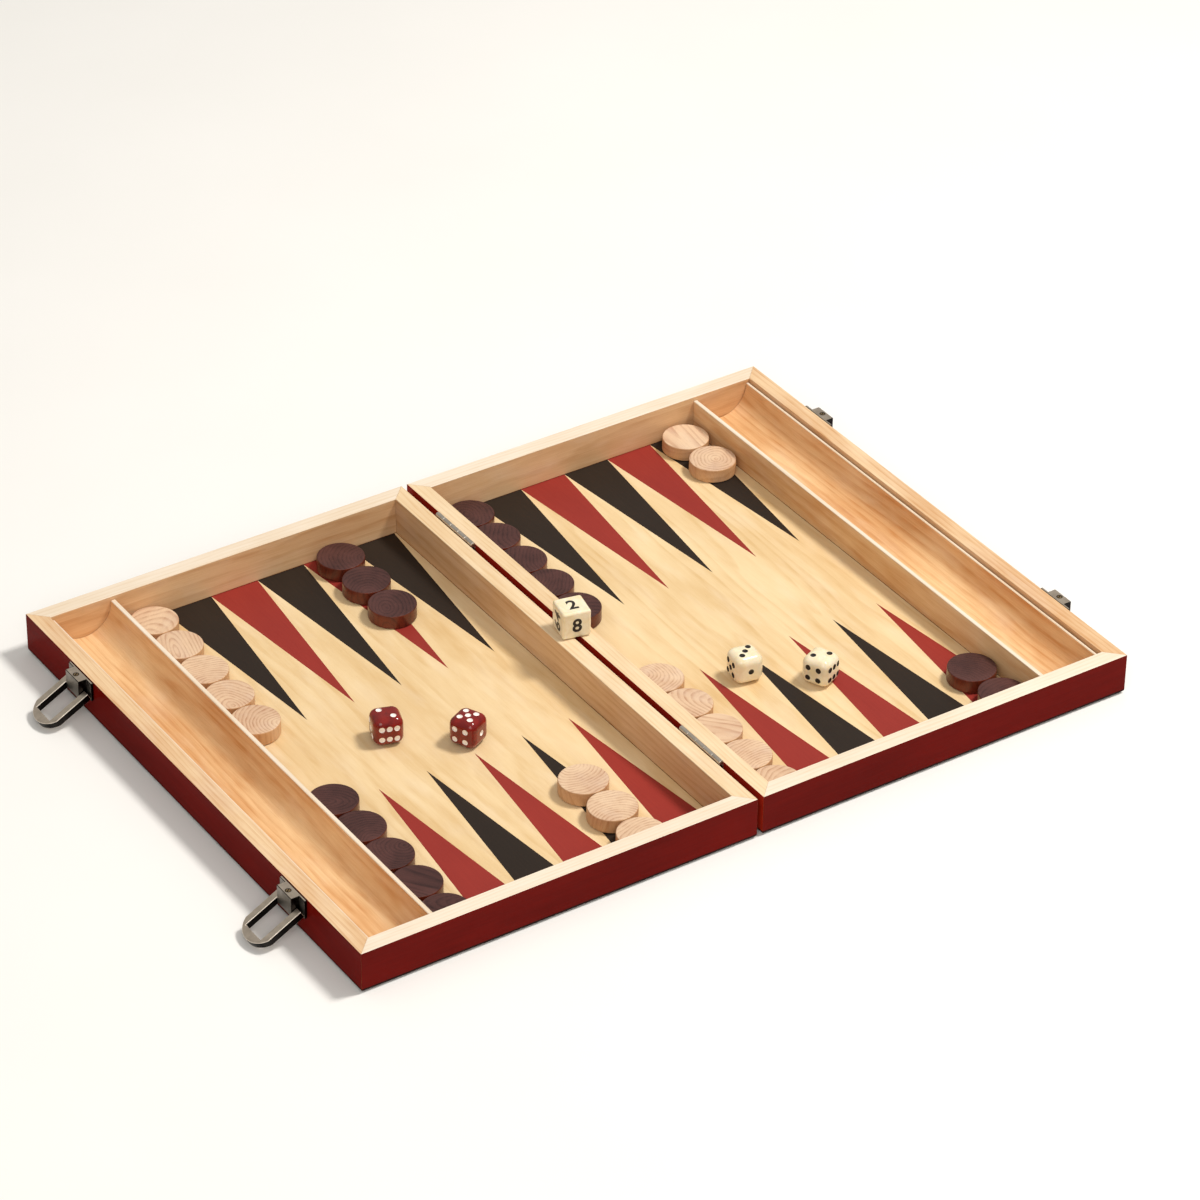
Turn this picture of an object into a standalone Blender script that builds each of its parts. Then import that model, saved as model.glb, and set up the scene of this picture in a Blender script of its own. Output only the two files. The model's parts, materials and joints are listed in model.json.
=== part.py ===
"""Folding wooden backgammon set, laid open for play.

Two shallow trays, hinged along Y, hold a mitred rim, a bottom panel and a bearing-off trough.
Two swinging bails latch the trays when they are folded shut. Thirty checkers stand in the
starting position, four dice lie on the field, and the doubling cube rests across the bar.

Units are metres. +Z is up, +X runs from the left tray to the right tray, +Y points away from
the near side, and the origin is at the middle of the set's footprint, on the table.
"""

import math

import bmesh
import bpy

MM = 0.001

# Driving dimensions of the case
DEPTH = 356.0 * MM              # length of the case along the hinge line
TRAY_WIDTH = 241.5 * MM         # one tray, from its hinge rail to its outer rail
TRAY_HEIGHT = 25.0 * MM         # one tray, from the table to its rim
HINGE_GAP = 3.6 * MM            # between the two hinge rails
RAIL = 10.0 * MM                # thickness of every rail
PANEL = 2.0 * MM                # thickness of a bottom panel
EDGE_INSET = 3.0 * MM           # rail material left outside a bottom panel
EDGE_ROUND = 2.5 * MM           # rounding of the bottom outer edge
EDGE_STEPS = 4
CLEAR = 0.3 * MM                # clearance between neighbouring pieces
SEAM = 0.5 * MM                 # between the two rims when the case is shut
SHARP_ANGLE = math.radians(40)  # edges sharper than this stay crisp

# Playing field and trough
FIELD_MARGIN = 1.2 * MM         # from the hinge rail's wall to the first point
POINT_PITCH = 30.0 * MM
POINTS_PER_SIDE = 6
TROUGH_DROP = 2.6 * MM          # trough edges lie this far under the rim
TROUGH_FLOOR = 2.2 * MM         # thinnest wood under the cove
DIVIDER = 2.6 * MM              # trough edge beside the playing field
LIP = 1.5 * MM                  # trough edge beside the outer rail
TROUGH_SLACK = 0.7 * MM         # between the lip and the outer rail
COVE_STEPS = 14

# Hinges
HINGE_LENGTH = 38.0 * MM
HINGE_SPREAD = 122.7 * MM       # hinge centres from the middle of the case
LEAF_INNER = 0.8 * MM           # leaf faces, measured from the hinge axis
LEAF_OUTER = 1.45 * MM
LEAF_DEPTH = 10.5 * MM          # how far a leaf reaches down its rail
KNUCKLES = 5
KNUCKLE_RADIUS = 1.5 * MM
KNUCKLE_BORE = 0.72 * MM
KNUCKLE_CLEAR = 1.8 * MM        # leaf edge under the other leaf's knuckles
TAB_INSET = 0.1 * MM            # a leaf's tab is this much shorter at each end of its knuckle
PIN_RADIUS = 0.55 * MM
SMALL_SEGMENTS = 12

# Latches
LATCH_SPREAD = 112.9 * MM       # latch centres from the middle of the case
FLANGE_WIDTH = 25.0 * MM
FLANGE_FACE = 1.7 * MM          # flange surface, measured from the rail
BLOCK_WIDTH = 14.4 * MM
BLOCK_FACE = 6.5 * MM           # block surface, measured from the rail
BLOCK_TOP = 0.4 * MM            # block top under the rim
BLOCK_BOTTOM = 11.7 * MM        # block bottom under the rim
PIVOT_DROP = 9.9 * MM           # bail pivot under the rim
PIVOT_OUT = 4.2 * MM            # bail pivot from the rail
BAIL_THICKNESS = 4.4 * MM
BAIL_WIDTH = 23.3 * MM
BAIL_WINDOW = 15.0 * MM
BAIL_WINDOW_END = 22.4 * MM     # from the pivot to the far side of the window
BAIL_TIP = 27.4 * MM            # from the pivot to the tip
BAIL_TIP_SAG = 7.6 * MM         # height of the tip's round outline
BAIL_TIP_STEPS = 12
BAIL_HEEL = 2.1 * MM            # arm length behind the pivot
HEEL_ROUND = 2.0 * MM           # rounding of the arm ends
BAIL_DROOP = math.radians(28.0) # below horizontal, with the tip at the table
PEG_RADIUS = 0.9 * MM
PEG_BORE = 1.15 * MM
PEG_REACH = 2.0 * MM            # how far a peg enters its block
PEG_ROOT = 1.0 * MM             # how far a peg starts inside its arm
TOUCH = 0.01 * MM               # points this close count as level

# Playing pieces
CHECKER_RADIUS = 13.75 * MM
CHECKER_HEIGHT = 8.5 * MM
CHECKER_BEVEL = 0.6 * MM
CHECKER_PITCH = 27.9 * MM
CHECKER_SEGMENTS = 24
CUBE_ROUND_STEPS = 3            # facets across the rounding of dice and doubling cube
DIE_EDGE = 17.0 * MM
DIE_ROUND = 4.0 * MM
CUBE_EDGE = 16.8 * MM
CUBE_ROUND = 1.4 * MM
CUBE_PLACE = (0.8 * MM, 4.0 * MM)
CUBE_TURN = math.radians(-12.0)

# Stacks: colour, tray side, column counted from the hinge, near or far rail, count, gap to rail,
# and how far the stack lies to the right of its point's middle
STACKS = (
    ("light", 1, 0, -1, 5, 0.6 * MM, 0.0),
    ("dark", 1, 5, -1, 2, 0.8 * MM, 0.0),
    ("light", -1, 1, -1, 3, 0.7 * MM, 0.0),
    ("dark", -1, 5, -1, 5, 0.6 * MM, -0.6 * MM),
    ("light", -1, 5, 1, 5, 0.6 * MM, 0.8 * MM),
    ("dark", -1, 1, 1, 3, 1.1 * MM, 0.7 * MM),
    ("dark", 1, 0, 1, 5, 2.8 * MM, 0.0),
    ("light", 1, 5, 1, 2, 1.2 * MM, 0.0),
)

# Dice: name, tray side, X and Y from the hinge line and the middle, turn about Z in degrees
DICE = (
    ("die_red_a", -1, -120.9 * MM, -0.7 * MM, -18.3),
    ("die_red_b", -1, -85.1 * MM, -26.3 * MM, 26.0),
    ("die_ivory_a", 1, 74.5 * MM, -56.5 * MM, -9.4),
    ("die_ivory_b", 1, 108.0 * MM, -81.3 * MM, 23.8),
)

# Derived dimensions
INNER = HINGE_GAP / 2
OUTER = INNER + TRAY_WIDTH
FIELD_START = INNER + RAIL + FIELD_MARGIN
FIELD_END = FIELD_START + POINTS_PER_SIDE * POINT_PITCH
TROUGH_START = FIELD_END + CLEAR
TROUGH_END = OUTER - RAIL - TROUGH_SLACK
FLOOR = PANEL + CLEAR
HINGE_HEIGHT = TRAY_HEIGHT + SEAM / 2
BAIL_REACH = PIVOT_OUT + BAIL_TIP * math.cos(BAIL_DROOP) + BAIL_THICKNESS / 2 * math.sin(BAIL_DROOP)
HINGE_X = (BAIL_REACH - BLOCK_FACE) / 2  # centres the footprint, bails included
CUBE_PUT_AWAY = (13.0 * MM, (TRAY_HEIGHT + FLOOR + CLEAR + CUBE_EDGE) / 2)

FINISHES = {
    # name: (colour, roughness, metallic)
    "lacquered_maple": ((0.62, 0.36, 0.17), 0.35, 0.0),
    "burl_panel": ((0.60, 0.14, 0.03), 0.25, 0.0),
    "trough_wood": ((0.62, 0.33, 0.13), 0.40, 0.0),
    "brushed_nickel": ((0.55, 0.52, 0.47), 0.35, 1.0),
    "satin_nickel": ((0.48, 0.44, 0.38), 0.30, 1.0),
    "light_checker": ((0.72, 0.50, 0.30), 0.40, 0.0),
    "dark_checker": ((0.07, 0.035, 0.035), 0.40, 0.0),
    "red_acrylic": ((0.22, 0.012, 0.01), 0.12, 0.0),
    "ivory_acrylic": ((0.86, 0.80, 0.62), 0.20, 0.0),
}


def clear_scene():
    for obj in list(bpy.data.objects):
        bpy.data.objects.remove(obj)


def finish_material(finish):
    """Return a new Principled material with the named finish."""
    colour, roughness, metallic = FINISHES[finish]
    material = bpy.data.materials.new(finish)
    material.use_nodes = True
    shader = material.node_tree.nodes["Principled BSDF"]
    shader.inputs["Base Color"].default_value = (*colour, 1.0)
    shader.inputs["Roughness"].default_value = roughness
    shader.inputs["Metallic"].default_value = metallic
    return material


def empty(name, location):
    frame = bpy.data.objects.new(name, None)
    frame.location = location
    bpy.context.collection.objects.link(frame)
    return frame


def mesh_from(name, vertices, faces):
    """Closed mesh from points and faces, with its faces turned outwards."""
    bm = bmesh.new()
    points = [bm.verts.new(vertex) for vertex in vertices]
    for face in faces:
        bm.faces.new([points[index] for index in face])
    return mesh_from_bmesh(name, bm)


def mesh_from_bmesh(name, bm):
    bmesh.ops.recalc_face_normals(bm, faces=bm.faces)
    mesh = bpy.data.meshes.new(name)
    bm.to_mesh(mesh)
    bm.free()
    return mesh


def add_piece(name, mesh, finish, parent=None, location=(0, 0, 0), rotation=(0, 0, 0)):
    """Place a mesh as one named sub-part."""
    piece = bpy.data.objects.new(name, mesh)
    piece.parent = parent
    piece.location = location
    piece.rotation_euler = rotation
    bpy.context.collection.objects.link(piece)
    piece.data.materials.append(finish_material(finish))
    piece.data.shade_smooth()
    piece.data.set_sharp_from_angle(angle=SHARP_ANGLE)
    return piece


def prism_faces(count):
    """Faces of a prism whose two outlines are vertex runs 0..count-1 and count..2*count-1."""
    sides = [(i, (i + 1) % count, count + (i + 1) % count, count + i) for i in range(count)]
    return [tuple(range(count))[::-1], tuple(range(count, 2 * count)), *sides]


def prism(name, outline, start, end, place):
    """Extrude a closed outline from start to end; place turns (a, b, along) into a point."""
    vertices = [place(a, b, along) for along in (start, end) for a, b in outline]
    return mesh_from(name, vertices, prism_faces(len(outline)))


def rounded_cube(name, edge, radius):
    bm = bmesh.new()
    bmesh.ops.create_cube(bm, size=edge)
    bmesh.ops.bevel(
        bm, geom=bm.edges[:], offset=radius, segments=CUBE_ROUND_STEPS, profile=0.5,
        affect="EDGES",
    )
    return mesh_from_bmesh(name, bm)


def boolean(piece, tool, operation):
    """Cut or join a piece with a hidden helper object."""
    tool.hide_render = True
    tool.display_type = "WIRE"
    modifier = piece.modifiers.new(operation.lower(), "BOOLEAN")
    modifier.operation = operation
    modifier.solver = "EXACT"
    modifier.object = tool


def helper(name, mesh, parent, location=(0, 0, 0), rotation=(0, 0, 0)):
    tool = bpy.data.objects.new(name, mesh)
    tool.parent = parent
    tool.location = location
    tool.rotation_euler = rotation
    bpy.context.collection.objects.link(tool)
    return tool


def circle(radius, segments, turn=0.0):
    angles = [turn + 2 * math.pi * i / segments for i in range(segments)]
    return [(radius * math.cos(angle), radius * math.sin(angle)) for angle in angles]


# ---------------------------------------------------------------- trays

def rail_profile():
    """Cross-section of a rail as (inset from the outer face, height)."""
    corner = []
    for i in range(EDGE_STEPS + 1):
        angle = math.pi / 2 * i / EDGE_STEPS
        inset = EDGE_ROUND * (1 - math.sin(angle))
        height = EDGE_ROUND * (1 - math.cos(angle))
        corner.append((inset, height))
    return corner + [
        (0.0, TRAY_HEIGHT),
        (RAIL, TRAY_HEIGHT),
        (RAIL, FLOOR),
        (EDGE_INSET, FLOOR),
        (EDGE_INSET, 0.0),
    ]


def mitred_rail(name, length, place):
    """Rail with 45 degree ends; place turns (inset, along, height) into a point."""
    setback = CLEAR / 2 * math.sqrt(2)
    profile = rail_profile()
    vertices = [place(inset, inset + setback, height) for inset, height in profile]
    vertices += [place(inset, length - inset - setback, height) for inset, height in profile]
    return mesh_from(name, vertices, prism_faces(len(profile)))


def trough_outline(side):
    """Cross-section of a trough moulding with its cove, as (x, height)."""
    top = TRAY_HEIGHT - TROUGH_DROP
    left = TROUGH_START + DIVIDER
    right = TROUGH_END - LIP
    middle = (left + right) / 2
    half_width = (right - left) / 2
    depth = top - FLOOR - TROUGH_FLOOR
    cove = []
    for i in range(COVE_STEPS + 1):
        angle = math.pi * i / COVE_STEPS
        cove.append((middle - half_width * math.cos(angle), top - depth * math.sin(angle)))
    outline = [(TROUGH_START, FLOOR), (TROUGH_START, top), *cove, (TROUGH_END, top)]
    outline.append((TROUGH_END, FLOOR))
    return [(side * x, height) for x, height in outline]


def build_tray(label, side, frame, lift):
    """One tray: four rails, a bottom panel and a trough. lift undoes the frame's height."""
    rails = {
        "near_rail": (TRAY_WIDTH, lambda i, a, h: (side * (INNER + a), i - DEPTH / 2, h)),
        "far_rail": (TRAY_WIDTH, lambda i, a, h: (side * (INNER + a), DEPTH / 2 - i, h)),
        "hinge_rail": (DEPTH, lambda i, a, h: (side * (INNER + i), a - DEPTH / 2, h)),
        "outer_rail": (DEPTH, lambda i, a, h: (side * (OUTER - i), a - DEPTH / 2, h)),
    }
    for kind, (length, place) in rails.items():
        name = f"{label}_{kind}"
        add_piece(name, mitred_rail(name, length, place), "lacquered_maple", frame, lift)

    inset = EDGE_INSET + CLEAR
    start, end = side * (INNER + inset), side * (OUTER - inset)
    half = DEPTH / 2 - inset
    outline = [(start, -half), (end, -half), (end, half), (start, half)]
    name = f"{label}_base_panel"
    panel = prism(name, outline, 0.0, PANEL, lambda x, y, z: (x, y, z))
    add_piece(name, panel, "burl_panel", frame, lift)

    half = DEPTH / 2 - RAIL - CLEAR
    name = f"{label}_trough"
    trough = prism(name, trough_outline(side), -half, half, lambda x, z, y: (x, y, z))
    add_piece(name, trough, "trough_wood", frame, lift)


# ---------------------------------------------------------------- hinges

def own_knuckles(side, middle):
    """Ends of the knuckles that belong to one leaf, along Y."""
    pitch = HINGE_LENGTH / KNUCKLES
    start = middle - HINGE_LENGTH / 2
    first = 0 if side > 0 else 1
    spans = []
    for index in range(first, KNUCKLES, 2):
        low = start + index * pitch + (CLEAR / 2 if index else 0.0)
        high = start + (index + 1) * pitch - (CLEAR / 2 if index < KNUCKLES - 1 else 0.0)
        spans.append((low, high))
    return spans


def leaf_outline(side, middle):
    """Comb outline of a leaf as (y, height from the axis), with tabs at its own knuckles."""
    start = middle - HINGE_LENGTH / 2
    end = middle + HINGE_LENGTH / 2
    outline = [(start, -LEAF_DEPTH), (start, -KNUCKLE_CLEAR)]
    for low, high in own_knuckles(side, middle):
        tab_low, tab_high = low + TAB_INSET, high - TAB_INSET
        outline += [(tab_low, -KNUCKLE_CLEAR), (tab_low, 0.0)]
        outline += [(tab_high, 0.0), (tab_high, -KNUCKLE_CLEAR)]
    return outline + [(end, -KNUCKLE_CLEAR), (end, -LEAF_DEPTH)]


def knuckle_mesh(name, low, high):
    """Tube around the hinge axis from low to high."""
    outer = circle(KNUCKLE_RADIUS, SMALL_SEGMENTS)
    bore = circle(KNUCKLE_BORE, SMALL_SEGMENTS)
    count = SMALL_SEGMENTS
    vertices = [(x, y, z) for y in (low, high) for ring in (outer, bore) for x, z in ring]
    faces = []
    for i in range(count):
        j = (i + 1) % count
        outer_low, bore_low, outer_high, bore_high = 0, count, 2 * count, 3 * count
        faces += [
            (outer_low + i, outer_low + j, outer_high + j, outer_high + i),
            (bore_low + i, bore_low + j, bore_high + j, bore_high + i),
            (outer_low + i, outer_low + j, bore_low + j, bore_low + i),
            (outer_high + i, outer_high + j, bore_high + j, bore_high + i),
        ]
    return mesh_from(name, vertices, faces)


def build_hinge(label, middle, frames):
    """Two leaves and a pin. Meshes are built around the hinge axis."""
    for side, (frame, axis) in frames.items():
        name = f"hinge_{label}_{'right' if side > 0 else 'left'}_leaf"
        comb = prism(
            name, leaf_outline(side, middle), side * LEAF_INNER, side * LEAF_OUTER,
            lambda y, z, x: (x, y, z),
        )
        leaf = add_piece(name, comb, "brushed_nickel", frame, axis)
        for index, (low, high) in enumerate(own_knuckles(side, middle)):
            tool_name = f"{name}_knuckle_{index + 1}_shape"
            tool = helper(tool_name, knuckle_mesh(tool_name, low, high), frame, axis)
            boolean(leaf, tool, "UNION")

    frame, axis = frames[1]
    name = f"hinge_{label}_pin"
    half = HINGE_LENGTH / 2
    pin = prism(
        name, circle(PIN_RADIUS, SMALL_SEGMENTS), middle - half, middle + half,
        lambda x, z, y: (x, y, z),
    )
    add_piece(name, pin, "brushed_nickel", frame, axis)


# ---------------------------------------------------------------- latches

def latch_block(name, side, middle):
    """Flanged block that stands on the outer rail just under the rim."""
    flange, block = FLANGE_WIDTH / 2, BLOCK_WIDTH / 2
    half_outline = [(CLEAR, flange), (FLANGE_FACE, flange), (FLANGE_FACE, block)]
    half_outline.append((BLOCK_FACE, block))
    outline = half_outline + [(out, -across) for out, across in reversed(half_outline)]
    low, high = TRAY_HEIGHT - BLOCK_BOTTOM, TRAY_HEIGHT - BLOCK_TOP
    return prism(
        name, outline, low, high,
        lambda out, across, z: (side * (OUTER + out), middle + across, z),
    )


def bail_outline():
    """Outline of the U-shaped bail as (distance from the pivot, across)."""
    half = BAIL_WIDTH / 2
    radius = (half * half + BAIL_TIP_SAG ** 2) / (2 * BAIL_TIP_SAG)
    centre = BAIL_TIP - radius
    sweep = math.asin(half / radius)
    tip = []
    for i in range(BAIL_TIP_STEPS + 1):
        angle = sweep * (1 - 2 * i / BAIL_TIP_STEPS)
        tip.append((centre + radius * math.cos(angle), radius * math.sin(angle)))
    window = BAIL_WINDOW / 2
    return [
        (-BAIL_HEEL, half),
        *tip,
        (-BAIL_HEEL, -half),
        (-BAIL_HEEL, -window),
        (BAIL_WINDOW_END, -window),
        (BAIL_WINDOW_END, window),
        (-BAIL_HEEL, window),
    ]


def bail_mesh(name):
    """Bail around its pivot, with arms along -X and rounded heels."""
    half = BAIL_THICKNESS / 2
    vertices = [(-a, b, z) for z in (-half, half) for a, b in bail_outline()]
    bm = bmesh.new()
    points = [bm.verts.new(vertex) for vertex in vertices]
    for face in prism_faces(len(vertices) // 2):
        bm.faces.new([points[index] for index in face])
    heel = [
        edge for edge in bm.edges
        if all(abs(vert.co.x - BAIL_HEEL) < TOUCH for vert in edge.verts)
        and edge.verts[0].co.z == edge.verts[1].co.z
    ]
    bmesh.ops.bevel(bm, geom=heel, offset=HEEL_ROUND, segments=3, profile=0.5, affect="EDGES")
    return mesh_from_bmesh(name, bm)


def build_latch(label, middle, left, left_lift, right):
    """Base block with a swinging bail on the left tray, and a catch on the right tray."""
    pivot = (-(OUTER + PIVOT_OUT), middle, TRAY_HEIGHT - PIVOT_DROP)

    name = f"latch_{label}_base"
    base = add_piece(name, latch_block(name, -1, middle), "satin_nickel", left, left_lift)
    tool_name = f"latch_{label}_bore_shape"
    bore = prism(
        tool_name, circle(PEG_BORE, SMALL_SEGMENTS), -FLANGE_WIDTH / 2, FLANGE_WIDTH / 2,
        lambda x, z, y: (x + pivot[0], y + middle, z + pivot[2]),
    )
    boolean(base, helper(tool_name, bore, left, left_lift), "DIFFERENCE")

    name = f"latch_{label}_catch"
    add_piece(name, latch_block(name, 1, middle), "satin_nickel", right)

    name = f"latch_{label}_bail"
    place = tuple(p + q for p, q in zip(pivot, left_lift))
    droop = (0.0, -BAIL_DROOP, 0.0)
    bail = add_piece(name, bail_mesh(name), "satin_nickel", left, place, droop)
    for across in (-1, 1):
        start = across * (BAIL_WINDOW / 2 + PEG_ROOT)
        end = across * (BLOCK_WIDTH / 2 - PEG_REACH)
        tool_name = f"latch_{label}_peg_{'far' if across > 0 else 'near'}_shape"
        peg = prism(
            tool_name, circle(PEG_RADIUS, SMALL_SEGMENTS), start, end,
            lambda x, z, y: (x, y, z),
        )
        boolean(bail, helper(tool_name, peg, left, place, droop), "UNION")


# ---------------------------------------------------------------- playing pieces

def checker_mesh(name):
    """Turned disc with small bevels, standing on its own origin."""
    rings = (
        (CHECKER_RADIUS - CHECKER_BEVEL, 0.0),
        (CHECKER_RADIUS, CHECKER_BEVEL),
        (CHECKER_RADIUS, CHECKER_HEIGHT - CHECKER_BEVEL),
        (CHECKER_RADIUS - CHECKER_BEVEL, CHECKER_HEIGHT),
    )
    count = CHECKER_SEGMENTS
    vertices = [(x, y, z) for radius, z in rings for x, y in circle(radius, count)]
    faces = [tuple(range(count)), tuple(range(3 * count, 4 * count))]
    for ring in range(len(rings) - 1):
        for i in range(count):
            j = (i + 1) % count
            low, high = ring * count, (ring + 1) * count
            faces.append((low + i, low + j, high + j, high + i))
    return mesh_from(name, vertices, faces)


def build_checkers(frames):
    counts = {"light": 0, "dark": 0}
    for colour, side, column, row, count, wall_gap, sideways in STACKS:
        frame, lift = frames[side]
        x = side * (FIELD_START + (column + 0.5) * POINT_PITCH) + sideways
        for place in range(count):
            reach = DEPTH / 2 - RAIL - wall_gap - CHECKER_RADIUS - place * CHECKER_PITCH
            counts[colour] += 1
            name = f"checker_{colour}_{counts[colour]:02d}"
            spot = (x, row * reach, FLOOR + lift[2])
            add_piece(name, checker_mesh(name), f"{colour}_checker", frame, spot)


def build_dice(frames):
    for name, side, x, y, turn in DICE:
        frame, lift = frames[side]
        finish = "red_acrylic" if "red" in name else "ivory_acrylic"
        spot = (x, y, FLOOR + DIE_EDGE / 2 + lift[2])
        mesh = rounded_cube(name, DIE_EDGE, DIE_ROUND)
        add_piece(name, mesh, finish, frame, spot, (0.0, 0.0, math.radians(turn)))


def build_doubling_cube():
    """The cube rests across both hinge rails; its empty is on the axis it is put away about."""
    axis_x, axis_z = CUBE_PUT_AWAY
    pivot = empty("doubling_cube_axis", (HINGE_X + axis_x, CUBE_PLACE[1], axis_z))
    spot = (CUBE_PLACE[0] - axis_x, 0.0, TRAY_HEIGHT + CLEAR + CUBE_EDGE / 2 - axis_z)
    mesh = rounded_cube("doubling_cube", CUBE_EDGE, CUBE_ROUND)
    add_piece("doubling_cube", mesh, "ivory_acrylic", pivot, spot, (0.0, 0.0, CUBE_TURN))


def main():
    clear_scene()
    right = empty("right_tray_frame", (HINGE_X, 0.0, 0.0))
    left = empty("left_tray_axis", (HINGE_X, 0.0, HINGE_HEIGHT))
    left_lift = (0.0, 0.0, -HINGE_HEIGHT)
    trays = {1: (right, (0.0, 0.0, 0.0)), -1: (left, left_lift)}

    build_tray("right", 1, *trays[1])
    build_tray("left", -1, *trays[-1])
    axes = {1: (right, (0.0, 0.0, HINGE_HEIGHT)), -1: (left, (0.0, 0.0, 0.0))}
    for label, sign in (("near", -1), ("far", 1)):
        build_hinge(label, sign * HINGE_SPREAD, axes)
        build_latch(label, sign * LATCH_SPREAD, left, left_lift, right)
    build_doubling_cube()
    build_dice(trays)
    build_checkers(trays)


main()
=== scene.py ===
"""Looks of the folding backgammon set.

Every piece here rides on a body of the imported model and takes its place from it. Shapes are
gathered in millimetres and turned into metres when their mesh is made. Wood is shaded from a
"grain" attribute: where each vertex lies in the plank it is cut from, fibres along X.
"""

import json
import math
import random

import bmesh
import bpy
from mathutils import Euler, Matrix, Vector


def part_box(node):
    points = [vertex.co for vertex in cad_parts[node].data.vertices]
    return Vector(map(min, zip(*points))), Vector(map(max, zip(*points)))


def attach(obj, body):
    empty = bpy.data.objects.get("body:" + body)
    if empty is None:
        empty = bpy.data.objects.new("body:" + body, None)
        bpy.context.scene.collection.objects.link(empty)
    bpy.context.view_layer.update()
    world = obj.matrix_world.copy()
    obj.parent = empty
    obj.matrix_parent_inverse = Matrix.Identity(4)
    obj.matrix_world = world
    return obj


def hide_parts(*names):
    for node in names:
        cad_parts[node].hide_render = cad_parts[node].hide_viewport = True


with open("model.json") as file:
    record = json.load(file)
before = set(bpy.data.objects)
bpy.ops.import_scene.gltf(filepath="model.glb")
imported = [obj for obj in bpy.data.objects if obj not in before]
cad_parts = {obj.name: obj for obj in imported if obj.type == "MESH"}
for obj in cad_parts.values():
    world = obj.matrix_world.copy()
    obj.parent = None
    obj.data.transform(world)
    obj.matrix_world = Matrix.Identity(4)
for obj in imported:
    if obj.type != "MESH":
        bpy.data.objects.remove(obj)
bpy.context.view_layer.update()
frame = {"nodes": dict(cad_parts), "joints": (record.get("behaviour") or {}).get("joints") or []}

MM = 0.001

# Case, in millimetres
RAIL = 10.0               # thickness of every rail
RAIL_HEIGHT = 25.0
EDGE_ROUND = 2.5          # rounding of the bottom outer edge
EDGE_STEPS = 7
ARRIS = 0.45              # rounding of the rim's edges
ARRIS_STEPS = 4
RABBET = 3.0              # rail material left outside the bottom panel
CLEAR = 0.3               # clearance between neighbouring pieces
RAIL_OVERLAP = 0.4        # closes the clearance left at the mitres
PANEL = 2.0               # thickness of the bottom panel, veneer included
MITRE_LINE = 0.05         # half of the hairline between two rails
VENEER = 0.6
INLAY_LINE = 0.03         # glue line round an inlaid point
INLAY_TIP = 4 * INLAY_LINE  # the same at the tip of a point
POINT_PITCH = 30.0
POINT_LENGTH = 131.0
POINTS_PER_SIDE = 6
FIELD_MARGIN = 1.2        # plain veneer beside the hinge rail
FIELD_GAP = 0.1           # round the field's veneer
TROUGH_DIVIDER = 2.6      # wall between the field and the cove
TROUGH_LIP = 1.5          # lip along the outer rail
TROUGH_FLOOR = 2.2        # wood left under the cove
TROUGH_ROUND = 0.45       # rounding of the moulding's outer edges
TROUGH_STEPS = 3
COVE_EASE = 0.35          # easing where the cove meets its edges
COVE_STEPS = 40

# Hinges and latches
KNUCKLES = 5
LEAF_INNER = 0.8
LEAF_OUTER = 1.45
LEAF_DEPTH = 10.5
KNUCKLE_RADIUS = 1.5
KNUCKLE_BORE = 0.72
KNUCKLE_BEVEL = 0.2
KNUCKLE_GAP = 0.08        # half of the gap between two knuckles
KNUCKLE_SEGMENTS = 28
LEAF_DROP = 0.3           # leaf edge under the other leaf's knuckles
NECK_ROOT = 0.4           # how deep a knuckle's neck starts in its leaf
NECK_INSET = 0.1          # the neck is this much shorter than its knuckle
NECK_TOP_OUTER = -0.3     # where the neck's two faces end inside the knuckle
NECK_TOP_INNER = -0.9
LEAF_SCREW_SEGMENTS = 24
LEAF_SCREW_SPREAD = 0.36  # middle to outer screw, as a share of the leaf's length
LEAF_SCREW_DEPTH = 0.6    # screws below the pin, as a share of the leaf's depth
LEAF_SCREW_STAGGER = 0.8  # how far the outer screws lie under the middle one
PIN_RADIUS = 0.55
PIN_BEVEL = 0.2
PIN_SEGMENTS = 20
FLANGE_FACE = 1.7
FLANGE_BACK = 0.3
FLANGE_HALF = 12.5
BLOCK_FACE = 6.5
BLOCK_HALF = 7.2
METAL_BEVEL = 0.3
BEVEL_STEPS = 3
BEVEL_FROM = 35.0         # degrees; flatter edges stay as they are
SCREW_HEAD = [(1.75, 0.02), (1.6, -0.1), (1.55, -0.12), (1.2, 0.06), (0.5, 0.10)]
SCREW_PAINTS = [1, 1, 0, 0]  # painted shade in a ring round a bright head
# the slot is a dark bar set into the head: painted shade where the slot is recessed
SCREW_SLOT = [(-1.3, -0.22), (1.3, -0.22), (1.3, 0.22), (-1.3, 0.22)]
SCREW_SLOT_FACE = (0.04, 0.13)
BLOCK_SCREW_SEGMENTS = 28
SCREW_OUT = 3.9           # screw axis from the rail
SCREW_TURN = 36.9
RIVET_SEGMENTS = 24
RIVET_DOME = [(1.5, -0.2), (1.5, 0.1), (1.35, 0.18), (0.9, 0.23), (0.3, 0.25)]
RIVET_OUT = 4.1           # rivet axis from the rail
RIVET_UP = 0.62           # height of the rivet as a share of the block's
BAIL_HALF = 11.65
BAIL_THICKNESS = 4.4
BAIL_WINDOW = 7.5         # half width of the opening
BAIL_WINDOW_END = 22.4    # from the pivot to the far side of the opening
BAIL_TIP = 27.4           # from the pivot to the tip
BAIL_SAG = 7.6            # height of the tip's round outline
BAIL_STEPS = 28
BAIL_HEEL = 2.1           # arm length behind the pivot
BAIL_DROOP = 28.0         # degrees below horizontal
PEG = [(0.9, 5.4), (0.9, 8.5)]  # (radius, distance from the bail's middle)

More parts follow.
